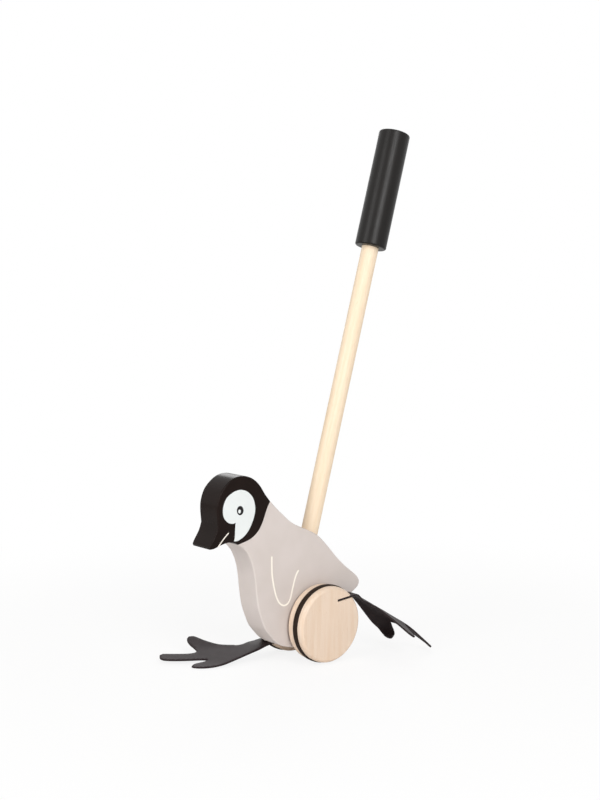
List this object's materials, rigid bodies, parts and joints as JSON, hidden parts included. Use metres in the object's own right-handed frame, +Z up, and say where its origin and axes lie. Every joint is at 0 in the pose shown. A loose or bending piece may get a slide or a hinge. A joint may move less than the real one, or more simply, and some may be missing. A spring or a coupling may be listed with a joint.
{
  "type": "push-along toy",
  "caption": "Flat-plank wooden penguin push toy on grooved wheels with rubber rings, flexible flapping feet and a leaning dowel handle with a black grip.",
  "frame": {"origin": "centre of the toy's plan box on the floor that its wheels stand on", "axes": "+Z up, the beak points towards -Y, the axle runs along X and +X is the toy's own left"},
  "size_m": [0.1546, 0.2432, 0.492],
  "materials": {
    "painted_wood": "satin paint, warm grey, on sawn and sanded plank",
    "dowel_wood": "pale sanded hardwood dowel",
    "grip_black": "black satin, fine long grain showing through",
    "washer_nylon": "natural nylon",
    "axle_steel": "drawn steel rod",
    "wheel_beech": "pale turned beech, clear satin coat",
    "ring_rubber": "dark brown-black moulded rubber",
    "foot_rubber": "black flexible sheet, satin"
  },
  "bodies": {
    "toy_body": {"body": "painted_wood", "stick": "dowel_wood", "grip": "grip_black", "washer_left": "washer_nylon", "washer_right": "washer_nylon"},
    "wheelset": {"axle": "axle_steel", "wheel_left": "wheel_beech", "wheel_right": "wheel_beech", "tyre_left": "ring_rubber", "tyre_right": "ring_rubber", "foot_left_stem": "foot_rubber", "foot_right_stem": "foot_rubber"},
    "left_foot_flap": {"foot_left": "foot_rubber"},
    "right_foot_flap": {"foot_right": "foot_rubber"}
  },
  "joints": [
    {"name": "axle_spin", "type": "hinge", "parent": "toy_body", "child": "wheelset", "pos_m": [0.00164, -0.00096, 0.036], "axis": [1, 0, 0], "continuous": true},
    {"name": "left_foot_flex", "type": "hinge", "parent": "wheelset", "child": "left_foot_flap", "pos_m": [0.02764, 0.03024, 0.05968], "axis": [1, 0, 0], "range_deg": [-10, 70], "stiffness_Nm_per_rad": 0.1},
    {"name": "right_foot_flex", "type": "hinge", "parent": "wheelset", "child": "right_foot_flap", "pos_m": [-0.02436, -0.03216, 0.01232], "axis": [-1, 0, 0], "range_deg": [-45, 55], "stiffness_Nm_per_rad": 0.1}
  ]
}
